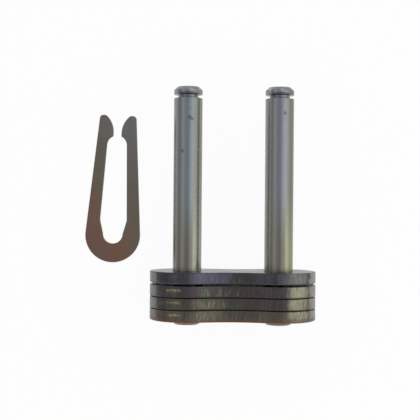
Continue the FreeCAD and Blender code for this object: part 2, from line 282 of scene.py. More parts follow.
def reach_of_circle(tree, centre, radius, toward, aside, near_or_far):
    """How far a circle's edge lies in a direction, when its centre stands off along one axis."""
    miss = maths(tree, "POWER", product(tree, centre, aside), 2.0)
    chord = maths(tree, "SQRT", maths(tree, "SUBTRACT", maths(tree, "POWER", radius, 2.0), miss))
    return maths(tree, near_or_far, product(tree, centre, toward), chord)


def hollow_arc(tree, half_pitch, lobe, waist):
    """Radius and centre of the hollow arc, which touches both lobes and passes the waist."""
    half_squared, waist_squared, lobe_squared = (maths(tree, "POWER", length, 2.0)
                                                 for length in (half_pitch, waist, lobe))
    squares = maths(tree, "SUBTRACT", maths(tree, "ADD", half_squared, waist_squared),
                    lobe_squared)
    radius = maths(tree, "DIVIDE", squares,
                   product(tree, 2.0, maths(tree, "SUBTRACT", lobe, waist)))
    return radius, maths(tree, "ADD", waist, radius)


def outline_reach(tree, given, place):
    """The outline's distance from the middle, in the direction of each point."""
    parts = parts_of(tree, place)
    across = maths(tree, "ABSOLUTE", parts[0])
    along = maths(tree, "ABSOLUTE", parts[1])
    half_pitch, lobe, waist = given["Half Pitch"], given["Lobe Radius"], given["Waist Half Width"]
    hollow, hollow_centre = hollow_arc(tree, half_pitch, lobe, waist)
    lobe_reach = reach_of_circle(tree, half_pitch, lobe, across, along, "ADD")
    waist_reach = reach_of_circle(tree, hollow_centre, hollow, along, across, "SUBTRACT")
    rise = product(tree, along, product(tree, half_pitch, hollow))
    limit = product(tree, across, product(tree, lobe, hollow_centre))
    return choose(tree, is_less(tree, rise, limit), waist_reach, lobe_reach)


def figure_eight(tree, given):
    """The outline curve, flat on the ground, as evenly spaced points."""
    circle = add_node(tree, "GeometryNodeCurvePrimitiveCircle",
                      {"Resolution": 2 * OUTLINE_POINTS, "Radius": 1.0}).outputs[0]
    place = read_position(tree)
    pushed = scale_vector(tree, place, outline_reach(tree, given, place))
    moved = add_node(tree, "GeometryNodeSetPosition",
                     {"Geometry": circle, "Position": pushed}).outputs[0]
    return add_node(tree, "GeometryNodeResampleCurve",
                    {"Curve": moved, "Count": OUTLINE_POINTS}).outputs[0]


# %% [markdown]
# The swept section is an open strip of four corners. Fillet Curve rounds the two middle
# corners by different radii, chosen by the point's number. The strip reaches a little way in
# over both faces, so that the large flat faces start where the surface is already flat, and
# their shading stays clean.

# %% A rounded strip along an outline
RIM_INSET = 0.55
SECTION_STEP = 0.13
RIM_FILLET_STEPS = 6


def rim_strip(tree, path, thickness, first_round, second_round, outward):
    """Sweeps the section; outward strips run down the wall and inward strips run up it."""
    level = product(tree, thickness, -1.0)
    side = -RIM_INSET if outward else RIM_INSET
    start, end = (level, 0.0) if outward else (0.0, level)
    corners = {"Point 1": vector_of(tree, side, start, 0.0),
               "Point 2": vector_of(tree, 0.0, start, 0.0),
               "Point 3": vector_of(tree, 0.0, end, 0.0),
               "Point 4": vector_of(tree, side, end, 0.0)}
    strip = add_node(tree, "GeometryNodeCurvePrimitiveQuadrilateral", corners, mode="POINTS")
    opened = add_node(tree, "GeometryNodeSetSplineCyclic",
                      {"Geometry": strip.outputs[0], "Cyclic": False}).outputs[0]
    is_first = is_number(tree, add_node(tree, "GeometryNodeInputIndex").outputs[0], 1)
    radius = choose(tree, is_first, second_round, first_round)
    rounded = add_node(tree, "GeometryNodeFilletCurve",
                       {"Curve": opened, "Count": RIM_FILLET_STEPS, "Radius": radius},
                       mode="POLY").outputs[0]
    stepped = add_node(tree, "GeometryNodeResampleCurve",
                       {"Curve": rounded, "Length": SECTION_STEP}, mode="LENGTH").outputs[0]
    return add_node(tree, "GeometryNodeCurveToMesh",
                    {"Curve": path, "Profile Curve": stepped}).outputs[0]


# %% [markdown]
# The strips leave a flat hole in each face of the plate. Their free edges on the lower face
# are turned into curves and filled, which makes the face with its bores in one step. The same
# face serves twice: flipped as the lower one, and lifted by the thickness as the upper one.

# %% The flat faces between the strips
def open_edges(tree, mesh, thickness):
    """The strips' free edges on the lower face, as curves."""
    sides = add_node(tree, "GeometryNodeInputMeshEdgeNeighbors").outputs[0]
    alone = is_number(tree, sides, 1)
    height = parts_of(tree, read_position(tree))[2]
    below = is_less(tree, height, product(tree, thickness, 0.5))
    both = add_node(tree, "FunctionNodeBooleanMath", {0: alone, 1: below}, operation="AND")
    return add_node(tree, "GeometryNodeMeshToCurve",
                    {"Mesh": mesh, "Selection": both.outputs[0]}).outputs[0]


def move(tree, geometry, shift):
    return add_node(tree, "GeometryNodeTransform",
                    {"Geometry": geometry, "Translation": shift}).outputs[0]


def faces_between(tree, rims, thickness):
    """The flat face with its two holes, once facing down and once facing up."""
    flat = add_node(tree, "GeometryNodeFillCurve", {"Curve": open_edges(tree, rims, thickness)},
                    mode="TRIANGLES").outputs[0]
    lower = add_node(tree, "GeometryNodeFlipFaces", {"Mesh": flat}).outputs[0]
    upper = move(tree, flat, vector_of(tree, 0.0, 0.0, thickness))
    return lower, upper


# %% [markdown]
# A stamped plate tears away from the strip over part of its edge. The tear leaves short lines
# that run through the thickness, and they are real depth, so the wall's points are moved. The
# noise is squeezed along the thickness, which turns round grains into lines. The mask that
# says how deep the tear is stays on the mesh as an attribute, for the steel to read later.

# %% Torn stretches on the plate's wall
TORN_BAND = (0.22, 0.66, 0.16)
TEAR_FADE = 0.8
END_TEAR = (12.2, 14.4, 0.6)
LOBE_GRAIN = (0.2, 0.2, 0.05)
LOBE_TEARS = (0.50, 0.62)
LOBE_SHARE = 0.5
TEAR_GRAIN = (3.4, 3.4, 0.5)


def store(tree, mesh, name, value, data_type):
    return add_node(tree, "GeometryNodeStoreNamedAttribute",
                    {"Geometry": mesh, "Name": name, "Value": value}, data_type=data_type,
                    domain="POINT").outputs[0]


def torn_zone(tree, given, place, along):
    """Where along the wall the plate tore: its own stretch, the right end, and some patches."""
    middle = smooth_window(tree, along, given["Tear Start"], given["Tear End"], TEAR_FADE)
    end = smooth_window(tree, along, *END_TEAR)
    patches = smooth_step(tree, noise_in_mm(tree, place, LOBE_GRAIN, given["Seed"], detail=1.0),
                          *LOBE_TEARS)
    return maths(tree, "MAXIMUM", maths(tree, "MAXIMUM", middle, end),
                 product(tree, patches, LOBE_SHARE))


def tear_wall(tree, mesh, given):
    place = read_position(tree)
    normal = add_node(tree, "GeometryNodeInputNormal").outputs[0]
    parts = parts_of(tree, place)
    wall = one_minus(tree, maths(tree, "ABSOLUTE", parts_of(tree, normal)[2]))
    share = maths(tree, "DIVIDE", parts[2], given["Thickness"])
    torn = product(tree, smooth_window(tree, share, *TORN_BAND), wall,
                   torn_zone(tree, given, place, parts[0]))
    lines = noise_in_mm(tree, place, TEAR_GRAIN, given["Seed"])
    depth = product(tree, torn, lines, product(tree, given["Tear Depth"], -1.0))
    marked = store(tree, mesh, "torn", torn, "FLOAT")
    marked = store(tree, marked, "wall", wall, "FLOAT")
    marked = store(tree, marked, "place_mm", place, "FLOAT_VECTOR")
    return add_node(tree, "GeometryNodeSetPosition",
                    {"Geometry": marked, "Offset": scale_vector(tree, normal, depth)}).outputs[0]


# %% [markdown]
# Now the pieces of the plate come together: the outer wall, the wall of one bore placed twice,
# and the two faces. Merge by Distance welds them into one closed skin before the wall is torn,
# and Realize Instances and Set Material end the tree.

# %% The whole plate tree
def finish_tree(tree, mesh, material, result):
    smooth = add_node(tree, "GeometryNodeSetShadeSmooth", {"Geometry": mesh}).outputs[0]
    real = add_node(tree, "GeometryNodeRealizeInstances", {"Geometry": smooth}).outputs[0]
    dressed = add_node(tree, "GeometryNodeSetMaterial",
                       {"Geometry": real, "Material": material}).outputs[0]
    tree.links.new(dressed, result[0])


def weld(tree, mesh):
    return add_node(tree, "GeometryNodeMergeByDistance",
                    {"Geometry": mesh, "Distance": WELD_GAP}).outputs[0]


def join(tree, pieces):
    joined = add_node(tree, "GeometryNodeJoinGeometry")
    for piece in pieces:
        tree.links.new(piece, joined.inputs[0])
    return joined.outputs[0]


def build_plate_tree():
    tree, given, result = new_tree("stamped_link_plate", "GeometryNodeTree", PLATE_INPUTS,
                                   [("Plate", GEOMETRY)])
    thickness, hole_round = given["Thickness"], given["Hole Round"]
    wall = rim_strip(tree, figure_eight(tree, given), thickness, given["Burr Round"],
                     given["Edge Roll"], True)
    hole_path = add_node(tree, "GeometryNodeCurvePrimitiveCircle",
                         {"Resolution": HOLE_POINTS, "Radius": given["Hole Radius"]}).outputs[0]
    hole = rim_strip(tree, hole_path, thickness, hole_round, hole_round, False)
    shift = vector_of(tree, given["Half Pitch"], 0.0, 0.0)
    right = move(tree, hole, shift)
    left = move(tree, hole, vector_maths(tree, "MULTIPLY", shift, (-1.0, 1.0, 1.0)))
    rims = join(tree, [wall, right, left])
    whole = join(tree, [rims, *faces_between(tree, rims, thickness)])
    finish_tree(tree, tear_wall(tree, weld(tree, whole), given), given["Steel"], result)
    return tree


plate_tree = build_plate_tree()
print("plate tree:", len(plate_tree.nodes), "nodes")

# %% [markdown]
# A pin is a turned part, so its whole form is one section spun about an axis. The tree writes
# the section's corners from named sizes, rounds them a little, and sweeps the section round a
# circle. The two ends reach the axis, where the points are welded to close the poles.

# %% The pin's section
PIN_INPUTS = [
    ("Shank Radius", FLOAT, PIN_RADIUS),
    ("Reach", FLOAT, PIN_TIP),
    ("Rivet Radius", FLOAT, RIVET_RADIUS),
    ("Rivet Length", FLOAT, RIVET_LENGTH),
    ("Rivet Bevel", FLOAT, RIVET_BEVEL),
    ("Head Length", FLOAT, HEAD_LENGTH),
    ("Head Bevel", FLOAT, HEAD_BEVEL),
    ("Groove Width", FLOAT, GROOVE_WIDTH),
    ("Groove Radius", FLOAT, GROOVE_RADIUS),
    ("Groove Break", FLOAT, GROOVE_BREAK),
    ("Corner Round", FLOAT, CORNER_ROUND),
    ("Steel", MATERIAL, None),
]


def pin_section(tree, given):
    """The section's corners as (distance along the pin, radius), from the rivet to the head."""
    def less(length, taken):
        return maths(tree, "SUBTRACT", length, taken)

    shank, reach, corner = given["Shank Radius"], given["Reach"], given["Groove Break"]
    rivet, bevel, core = given["Rivet Radius"], given["Rivet Bevel"], given["Groove Radius"]
    foot = product(tree, given["Rivet Length"], -1.0)
    groove_end = less(reach, given["Head Length"])
    groove_start = less(groove_end, given["Groove Width"])
    broken = less(shank, corner)
    return [
        (foot, 0.0),
        (foot, less(rivet, bevel)),
        (maths(tree, "ADD", foot, bevel), rivet),
        (0.0, rivet),
        (0.0, shank),
        (less(groove_start, corner), shank),
        (groove_start, broken),
        (groove_start, core),
        (groove_end, core),
        (groove_end, broken),
        (maths(tree, "ADD", groove_end, corner), shank),
        (less(reach, given["Head Bevel"]), shank),
        (reach, less(shank, given["Head Bevel"])),
        (reach, 0.0),
    ]


# %% [markdown]
# Geometry Nodes have no node that takes a list of corners, so a mesh line gives a point for
# each corner, and an Index Switch looks its place up by number. Fillet Curve breaks the sharp
# corners, Curve to Mesh spins the section, and every point's place is kept as an attribute.

# %% The turned pin tree
PIN_SIDES = 160
PIN_FILLET_STEPS = 3


def corner_line(tree, corners, axis_offset):
    """A line of points whose places are looked up by their number."""
    line = add_node(tree, "GeometryNodeMeshLine", {"Count": len(corners)}).outputs[0]
    lookup = add_node(tree, "GeometryNodeIndexSwitch", data_type="VECTOR")
    while len(lookup.index_switch_items) < len(corners):
        lookup.index_switch_items.new()
    tree.links.new(add_node(tree, "GeometryNodeInputIndex").outputs[0], lookup.inputs[0])
    for number, (along, radius) in enumerate(reversed(corners), start=1):
        off_path = maths(tree, "SUBTRACT", radius, axis_offset)
        tree.links.new(vector_of(tree, off_path, product(tree, along, -1.0), 0.0),
                       lookup.inputs[number])
    placed = add_node(tree, "GeometryNodeSetPosition",
                      {"Geometry": line, "Position": lookup.outputs[0]}).outputs[0]
    return add_node(tree, "GeometryNodeMeshToCurve", {"Mesh": placed}).outputs[0]


def build_pin_tree():
    tree, given, result = new_tree("turned_pin", "GeometryNodeTree", PIN_INPUTS,
                                   [("Pin", GEOMETRY)])
    path = add_node(tree, "GeometryNodeCurvePrimitiveCircle",
                    {"Resolution": PIN_SIDES, "Radius": given["Shank Radius"]}).outputs[0]
    section = corner_line(tree, pin_section(tree, given), given["Shank Radius"])
    rounded = add_node(tree, "GeometryNodeFilletCurve",
                       {"Curve": section, "Count": PIN_FILLET_STEPS,
                        "Radius": given["Corner Round"], "Limit Radius": True},
                       mode="POLY").outputs[0]
    spun = add_node(tree, "GeometryNodeCurveToMesh",
                    {"Curve": path, "Profile Curve": rounded}).outputs[0]
    marked = store(tree, weld(tree, spun), "place_mm", read_position(tree), "FLOAT_VECTOR")
    finish_tree(tree, marked, given["Steel"], result)
    return tree


pin_tree = build_pin_tree()
print("pin tree:", len(pin_tree.nodes), "nodes")

# %% [markdown]
# A tree becomes a piece in three steps. A throwaway object carries the modifier, its inputs
# are set by their identifiers, and the evaluated result is copied into a plain mesh. The mesh
# is then scaled to metres and put in its place, so that the finished object itself stays at
# the origin, unturned.

# %% From tree to finished mesh
FLAT_FACE_WEIGHT = 80


def input_identifiers(tree):
    return {item.name: item.identifier for item in tree.interface.items_tree
            if item.item_type == "SOCKET" and item.in_out == "INPUT"}


def evaluated_mesh(piece):
    graph = bpy.context.evaluated_depsgraph_get()
    return bpy.data.meshes.new_from_object(piece.evaluated_get(graph))


def mesh_from_tree(name, tree, settings, placement):
    carrier = add_object(name + "_carrier", bpy.data.meshes.new(name + "_empty"))
    modifier = carrier.modifiers.new("shape", "NODES")
    modifier.node_group = tree
    identifiers = input_identifiers(tree)
    for label, setting in settings.items():
        modifier[identifiers[label]] = setting
    mesh = evaluated_mesh(carrier)
    carrier.modifiers.remove(modifier)
    bpy.data.objects.remove(carrier)
    mesh.name = name
    mesh.transform(placement)
    return mesh


def even_shading(piece):
    """Big flat faces keep flat shading right up to their rounded rims."""
    modifier = piece.modifiers.new("even_shading", "WEIGHTED_NORMAL")
    modifier.weight = FLAT_FACE_WEIGHT
    shaded = evaluated_mesh(piece)
    piece.modifiers.remove(modifier)
    piece.data = shaded


def add_piece(name, mesh, node, body):
    piece = add_object(name, mesh)
    even_shading(piece)
    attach(piece, body)
    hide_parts(node)
    print(name, "has", len(piece.data.polygons), "faces, rides on", body)


def along_pins(low_y, middle_x):
    """From a piece that stands on the ground to its place along the pins, in metres."""
    turn = Matrix.Rotation(-math.pi / 2, 4, "X")
    place = Matrix.Translation((middle_x * MM, low_y * MM, PIN_LEVEL * MM))
    return place @ turn @ Matrix.Scale(MM, 4)


# %% [markdown]
# The clip is punched from thin spring steel, and it grips the two grooved necks: one in its
# closed, half-round seat, the other in an open seat one pitch away, behind two barbs. Its
# sizes are the solid's own. It lies on the table, leaning a little.

# %% The clip's sizes, in millimetres
CLIP_SEAT = 2.13
CLIP_END = 5.90
CLIP_END_SHIFT = 0.30
CLIP_SLOT = 2.88
CLIP_NECK = 2.90
CLIP_NECK_ROUND = 3.0
CLIP_THROAT = 0.86
CLIP_BARB_LENGTH = 0.80
CLIP_BARB_ROUND = 0.30
CLIP_CHEEK_LENGTH = 3.75
CLIP_HALF_TIP = 3.91
CLIP_TIP_WALL = 1.30
CLIP_TIP_ROUND = 0.78
CLIP_EDGE_ROUND = 0.12
CLIP_LEAN = math.radians(2.3)
CLIP_SEAT_X = LEFT_PIN - 16.28
CLIP_SEAT_Y = OUTER_FACE + 17.44
STEPS = {"seat": 20, "neck": 6, "open seat": 14, "barb": 8, "cheek": 24, "tip": 8, "shoulder": 10,
         "end": 48}
print("clip: seat %.2f, slot %.2f, throat %.2f" % (CLIP_SEAT, CLIP_SLOT, CLIP_THROAT))

# %% [markdown]
# The outline is nearly all arcs that touch each other. Curves pulled by hand would meet with
# kinks, so the exact touching points are worked out, the right half is drawn, and the left
# half is its mirror.

# %% The clip's outline
def arc_points(centre, radius, start, end, steps):
    """Points on an arc, both ends included, angles in radians from the X axis."""
    angles = [start + (end - start) * step / steps for step in range(steps + 1)]
    return [Vector((centre[0] + radius * math.cos(a), centre[1] + radius * math.sin(a)))
            for a in angles]


def round_corner(before, corner, after, radius, steps):
    """Replaces a corner between two straight sides with an arc that touches both."""
    back, ahead = (before - corner).normalized(), (after - corner).normalized()
    half = back.angle(ahead) / 2
    centre = corner + (back + ahead).normalized() * (radius / math.sin(half))
    touch_back = corner + back * (radius / math.tan(half)) - centre
    touch_ahead = corner + ahead * (radius / math.tan(half)) - centre
    turn = touch_back.angle_signed(touch_ahead)
    start = math.atan2(touch_back.y, touch_back.x)
    return arc_points(centre, radius, start, start - turn, steps)


def barb_points(barb_y):
    """The rounded corner where the open seat ends and the narrow throat begins."""
    seat_centre = Vector((0.0, PITCH))
    across = CLIP_THROAT + CLIP_BARB_ROUND
    up = math.sqrt((CLIP_SEAT + CLIP_BARB_ROUND) ** 2 - across ** 2)
    centre = seat_centre + Vector((across, up))
    leave = math.atan2(up, across)
    seat = arc_points(seat_centre, CLIP_SEAT, 0.0, leave, STEPS["open seat"])
    corner = arc_points(centre, CLIP_BARB_ROUND, leave - math.pi, -math.pi, STEPS["barb"])
    return seat + corner + [Vector((CLIP_THROAT, barb_y))]


def tip_points(barb_y, tip_y, touch):
    """Up the round cheek, over the tip and on to the outer side."""
    flare = CLIP_HALF_TIP - CLIP_TIP_WALL - CLIP_THROAT
    cheek = (CLIP_CHEEK_LENGTH ** 2 + flare ** 2) / (2 * flare)
    cheek_centre = Vector((CLIP_THROAT + cheek, barb_y))
    rise = tip_y - CLIP_TIP_ROUND - barb_y
    inner = cheek_centre - Vector((math.sqrt((cheek - CLIP_TIP_ROUND) ** 2 - rise ** 2), -rise))
    toward = inner - cheek_centre
    leave = math.atan2(toward.y, toward.x)
    up = arc_points(cheek_centre, cheek, math.pi, leave, STEPS["cheek"])
    over = arc_points(inner, CLIP_TIP_ROUND, leave, math.pi / 2, STEPS["tip"])
    outer = round_corner(Vector((0.0, tip_y)), Vector((CLIP_HALF_TIP, tip_y)), touch,
                         CLIP_TIP_ROUND, STEPS["shoulder"])
    return up + over + outer


def clip_half():
    """The right half, from the closed seat's lowest point round to the closed end's."""
    barb_corner = PITCH + math.sqrt(CLIP_SEAT ** 2 - CLIP_THROAT ** 2)
    barb_y = barb_corner + CLIP_BARB_LENGTH
    tip_y = barb_y + CLIP_CHEEK_LENGTH
    reach = math.hypot(CLIP_HALF_TIP, tip_y + CLIP_END_SHIFT)
    lean = math.atan2(CLIP_HALF_TIP, tip_y + CLIP_END_SHIFT)
    turn = math.pi / 2 - lean - math.acos(CLIP_END / reach)
    touch = Vector((CLIP_END * math.cos(turn), CLIP_END * math.sin(turn) - CLIP_END_SHIFT))
    seat = arc_points((0.0, 0.0), CLIP_SEAT, -math.pi / 2, 0.0, STEPS["seat"])
    neck = round_corner(Vector((CLIP_SEAT, 0.0)), Vector((CLIP_SLOT, CLIP_NECK)),
                        Vector((CLIP_SEAT, PITCH)), CLIP_NECK_ROUND, STEPS["neck"])
    end = arc_points((0.0, -CLIP_END_SHIFT), CLIP_END, turn, -math.pi / 2, STEPS["end"])
    return seat + neck + barb_points(barb_y) + tip_points(barb_y, tip_y, touch) + end


def without_repeats(points, nearest=0.004):
    kept = [points[0]]
    for point in points[1:]:
        if (point - kept[-1]).length > nearest:
            kept.append(point)
    return kept


right_half = without_repeats(clip_half())
left_half = [Vector((-point.x, point.y)) for point in reversed(right_half[1:-1])]
clip_outline = right_half + left_half
print("clip outline has", len(clip_outline), "points")

# %% [markdown]
# A flat curve turns the outline into a plate: its extrusion gives the thickness, and its bevel
# the soft edges that tumbling leaves on a punched clip. The curve is drawn in by the bevel's
# size first, so that the plate ends at the outline. It is made a mesh before it is placed.

# %% The clip as a softly edged plate
BEVEL_STEPS = 3


def flat_plate_mesh(name, outline, thickness, edge_round):
    curve = bpy.data.curves.new(name, "CURVE")
    curve.dimensions = "2D"
    curve.fill_mode = "BOTH"
    curve.extrude = thickness / 2 - edge_round
    curve.bevel_depth = edge_round
    curve.bevel_resolution = BEVEL_STEPS
    curve.offset = -edge_round
    spline = curve.splines.new("POLY")
    spline.points.add(len(outline) - 1)
    for point, place in zip(spline.points, outline):
        point.co = (place.x, place.y, 0.0, 1.0)
    spline.use_cyclic_u = True
    carrier = add_object(name + "_carrier", curve)
    mesh = evaluated_mesh(carrier)
    bpy.data.objects.remove(carrier)
    return mesh


def weld_and_face_outwards(mesh, distance):
    shape = bmesh.new()
    shape.from_mesh(mesh)
    bmesh.ops.remove_doubles(shape, verts=shape.verts, dist=distance)
    bmesh.ops.recalc_face_normals(shape, faces=shape.faces)
    for face in shape.faces:
        face.smooth = True
    shape.to_mesh(mesh)
    shape.free()


def remember_places(mesh):
    """Keeps each point's own place in millimetres, for the steel to read."""
    kept = mesh.attributes.new("place_mm", "FLOAT_VECTOR", "POINT")
    for number, vertex in enumerate(mesh.vertices):
        kept.data[number].vector = vertex.co


clip_mesh = flat_plate_mesh("spring_clip_punched", clip_outline, CLIP_THICK, CLIP_EDGE_ROUND)
weld_and_face_outwards(clip_mesh, WELD_GAP)
remember_places(clip_mesh)
clip_place = Matrix.Translation((CLIP_SEAT_X * MM, CLIP_SEAT_Y * MM, CLIP_THICK / 2 * MM))
clip_mesh.transform(clip_place @ Matrix.Rotation(-CLIP_LEAN, 4, "Z") @ Matrix.Scale(MM, 4))
print("clip mesh has", len(clip_mesh.polygons), "faces")

# %% [markdown]
# Hardened chain parts come out of the furnace with a thin oxide film, and the film's thickness
# decides its colour: straw, brown, purple or blue. The colours drift slowly over a part. One
# shader group mixes two such tints into the bare colour by a slow noise, and every steel in
# the scene uses it with its own tints.

# %% Shader group: heat tint
COOL_NOISE = (0.48, 0.72)
WARM_NOISE = (0.28, 0.52)


def opaque(colour):
    """A colour socket wants a fourth number, which says how opaque the colour is."""
    return colour if isinstance(colour, bpy.types.NodeSocket) else (*colour, 1.0)


def mix_colour(tree, share, first, second, blend="MIX"):
    return add_node(tree, "ShaderNodeMix", {0: share, 6: opaque(first), 7: opaque(second)},
                    data_type="RGBA", blend_type=blend).outputs[2]


def use_group(tree, group, inputs):
    return add_node(tree, "ShaderNodeGroup", inputs, node_tree=group).outputs


def build_heat_tint():
    tree, given, result = new_tree("heat_tint", "ShaderNodeTree", [
        ("Place", VECTOR, None), ("Stretch", VECTOR, (0.2, 0.2, 0.2)), ("Seed", FLOAT, 0.0),
        ("Bare", COLOUR, (0.1, 0.1, 0.1, 1.0)), ("Cool", COLOUR, (0.08, 0.08, 0.14, 1.0)),
        ("Warm", COLOUR, (0.14, 0.11, 0.07, 1.0)), ("Amount", FLOAT, 0.7)],
        [("Color", COLOUR)])
    slow = noise_in_mm(tree, given["Place"], given["Stretch"], given["Seed"], detail=2.0)
    cool = smooth_step(tree, slow, *COOL_NOISE)
    warm = one_minus(tree, smooth_step(tree, slow, *WARM_NOISE))
    colour = given["Bare"]
    for share, tint in ((cool, given["Cool"]), (warm, given["Warm"])):
        colour = mix_colour(tree, product(tree, share, given["Amount"]), colour, tint)
    tree.links.new(colour, result[0])
    return tree


heat_tint = build_heat_tint()
print("heat tint:", len(heat_tint.nodes), "nodes")

# %% [markdown]
# Some colours sit in one known place: the violet stretch on the cover plate's edge, the painted
# olive reflection of the light from the right on the plates' right ends, the brown foot of the
# riveted plate. The next group tints a stretch between two places, and a little noise frays its
# borders.

# %% Shader group: a tinted stretch
FRAY_GRAIN = (0.9, 0.9, 0.9)
FRAY_WIDTH = 1.6


def build_stretch_tint():
    tree, given, result = new_tree("stretch_tint", "ShaderNodeTree", [
        ("Base", COLOUR, (0.1, 0.1, 0.1, 1.0)), ("Tint", COLOUR, (0.1, 0.1, 0.2, 1.0)),
        ("Along", FLOAT, 0.0), ("Low", FLOAT, 0.0), ("High", FLOAT, 1.0), ("Soft", FLOAT, 0.5),
        ("Share", FLOAT, 1.0), ("Place", VECTOR, None), ("Seed", FLOAT, 0.0)],
        [("Color", COLOUR), ("Mask", FLOAT)])
    fray = noise_in_mm(tree, given["Place"], FRAY_GRAIN, given["Seed"])
    wander = product(tree, maths(tree, "SUBTRACT", fray, 0.5),
                     product(tree, given["Soft"], FRAY_WIDTH))
    mask = smooth_window(tree, maths(tree, "ADD", given["Along"], wander), given["Low"],
                         given["High"], given["Soft"])
    mask = product(tree, mask, given["Share"])
    tree.links.new(mix_colour(tree, mask, given["Base"], given["Tint"]), result[0])
    tree.links.new(mask, result[1])
    return tree


stretch_tint = build_stretch_tint()
print("stretch tint:", len(stretch_tint.nodes), "nodes")

# %% [markdown]
# A nick is a small dent with a dull bottom. The group measures the distance to the dent's
# centre, bends it with noise so that the rim is ragged, and gives a mask for colour and height.

# %% Shader group: nick
NICK_GRAIN = (2.5, 2.5, 2.5)
NICK_RIM = 1.7


def build_nick():
    tree, given, result = new_tree("nick", "ShaderNodeTree", [
        ("Place", VECTOR, None), ("Centre", VECTOR, (0.0, 0.0, 0.0)), ("Size", FLOAT, 0.4)],
        [("Mask", FLOAT)])
    ragged = noise_in_mm(tree, given["Place"], NICK_GRAIN, 0.0, detail=2.0)
    gap = add_node(tree, "ShaderNodeVectorMath", {0: given["Place"], 1: given["Centre"]},
                   operation="DISTANCE").outputs["Value"]
    bent = maths(tree, "ADD", gap, product(tree, ragged, given["Size"]))
    rim = product(tree, given["Size"], NICK_RIM)
    tree.links.new(one_minus(tree, smooth_step(tree, bent, given["Size"], rim)), result[0])
    return tree


nick = build_nick()
print("nick:", len(nick.nodes), "nodes")

# %% [markdown]
# Handling and rolling leave fine marks. This group gives a height for the bump and a value for
# the roughness. The stretch input says in which direction the marks run.

# %% Shader group: fine marks
BLOT_SCALE = 0.45
BLOT_NOISE = (0.35, 0.65)


def share_between(tree, value, low, high):
    """Nothing at the low end, one at the high end, and straight in between."""
    return add_node(tree, "ShaderNodeMapRange", {0: value, 1: low, 2: high}).outputs[0]


def build_fine_marks():
    tree, given, result = new_tree("fine_marks", "ShaderNodeTree", [
        ("Place", VECTOR, None), ("Stretch", VECTOR, (4.0, 4.0, 4.0)), ("Seed", FLOAT, 0.0)],
        [("Height", FLOAT), ("Dullness", FLOAT)])
    fine = noise_in_mm(tree, given["Place"], given["Stretch"], given["Seed"], detail=4.0)
    blot = add_node(tree, "ShaderNodeTexNoise", {"Vector": given["Place"], "W": given["Seed"],
                                                 "Scale": BLOT_SCALE, "Detail": 2.0},
                    noise_dimensions="4D").outputs[0]
    dull = share_between(tree, blot, *BLOT_NOISE)
    tree.links.new(fine, result[0])
    tree.links.new(maths(tree, "ADD", product(tree, fine, 0.5), product(tree, dull, 0.5)),
                   result[1])
    return tree


fine_marks = build_fine_marks()
print("fine marks:", len(fine_marks.nodes), "nodes")

# %% [markdown]
# All three steels are the same kind of material: a metal shader whose colour, roughness and
# bump come from the groups above. They read each point's place from the attribute that the
# meshes carry, so the patterns stay put when a plate slides or the whole link is moved.

# %% What every steel is made of
def read_mask(tree, name):
    return add_node(tree, "ShaderNodeAttribute", attribute_name=name).outputs["Fac"]


def new_steel(name):
    material = bpy.data.materials.new(name)
    material.use_nodes = True
    tree = material.node_tree
    place = add_node(tree, "ShaderNodeAttribute", attribute_name="place_mm").outputs["Vector"]
    shader = tree.nodes["Principled BSDF"]
    shader.inputs["Metallic"].default_value = 1.0
    return SimpleNamespace(material=material, tree=tree, place=place, shader=shader,
                           parts=parts_of(tree, place))


def set_surface(steel, colour, roughness, height, depth):
    tree, sockets = steel.tree, steel.shader.inputs
    tree.links.new(colour, sockets["Base Color"])
    tree.links.new(roughness, sockets["Roughness"])
    bump = add_node(tree, "ShaderNodeBump", {"Strength": 1.0, "Distance": depth * MM,
                                             "Height": height})
    tree.links.new(bump.outputs[0], sockets["Normal"])


def spread(tree, value, low, high):
    """Turns a share from nothing to one into a value from low to high."""
    return add_node(tree, "ShaderNodeMapRange", {0: value, 3: low, 4: high}).outputs[0]


def heat_film(steel, stretch, seed, bare, cool, warm, amount=0.7):
    return use_group(steel.tree, heat_tint, {
        "Place": steel.place, "Stretch": stretch, "Seed": seed, "Bare": opaque(bare),
        "Cool": opaque(cool), "Warm": opaque(warm), "Amount": amount})[0]


def marks_of(steel, stretch, seed):
    return use_group(steel.tree, fine_marks, {"Place": steel.place, "Stretch": stretch,
                                              "Seed": seed})


def tint_stretches(steel, colour, along, stretches, seed, cover=1.0):
    """Lays each stretch (low, high, soft, share, tint) over the colour, as far as the cover."""
    tree = steel.tree
    for number, (low, high, soft, share, tint) in enumerate(stretches):
        colour = use_group(tree, stretch_tint, {
            "Base": colour, "Tint": opaque(tint), "Along": along, "Low": low, "High": high,
            "Soft": soft, "Share": product(tree, share, cover), "Place": steel.place,
            "Seed": seed + number})[0]
    return colour


# %% [markdown]
# A plate's big faces are plain dark steel, and its story is on the edge. Every mark there is a
# mask times a colour, laid over the last one, and the masks are held to the wall, so that the
# faces stay clean from every side. The right end of each plate carries a painted reflection of the
# light from the right, in ragged patches, and a tint runs along the lower rim. Each kind of mark
# adds its own number to the plate's seed.

# %% The plate's wall, the painted reflection on its end, and its foot
FILM_GRAIN = (0.22, 0.22, 0.22)
WALL_SLANT = -0.14
LINE_GRAIN = (4.8, 4.8, 0.45)
LINE_SEED = 3.0
PATCH_GRAIN = (1.7, 1.7, 0.5)
PATCH_NOISE = (0.38, 0.56)
PATCH_SHARES = (0.45, 1.0)
PATCH_SEED = 6.0
END_REFLECTION_SEED = 7.0
FOOT_SHARES = (0.55, 1.0)
FOOT_SEED = 5.0


def new_plate_steel(name, seed):
    """A steel that also knows its wall, its torn patches and the lines across the wall."""
    steel = new_steel(name)
    tree = steel.tree
    steel.wall = read_mask(tree, "wall")
    steel.torn = read_mask(tree, "torn")
    slant = product(tree, steel.parts[2], WALL_SLANT)
    steel.slanted = vector_maths(tree, "ADD", steel.place, vector_of(tree, slant, 0.0, 0.0))
    steel.lines = noise_in_mm(tree, steel.slanted, LINE_GRAIN, seed + LINE_SEED, detail=2.0)
    return steel


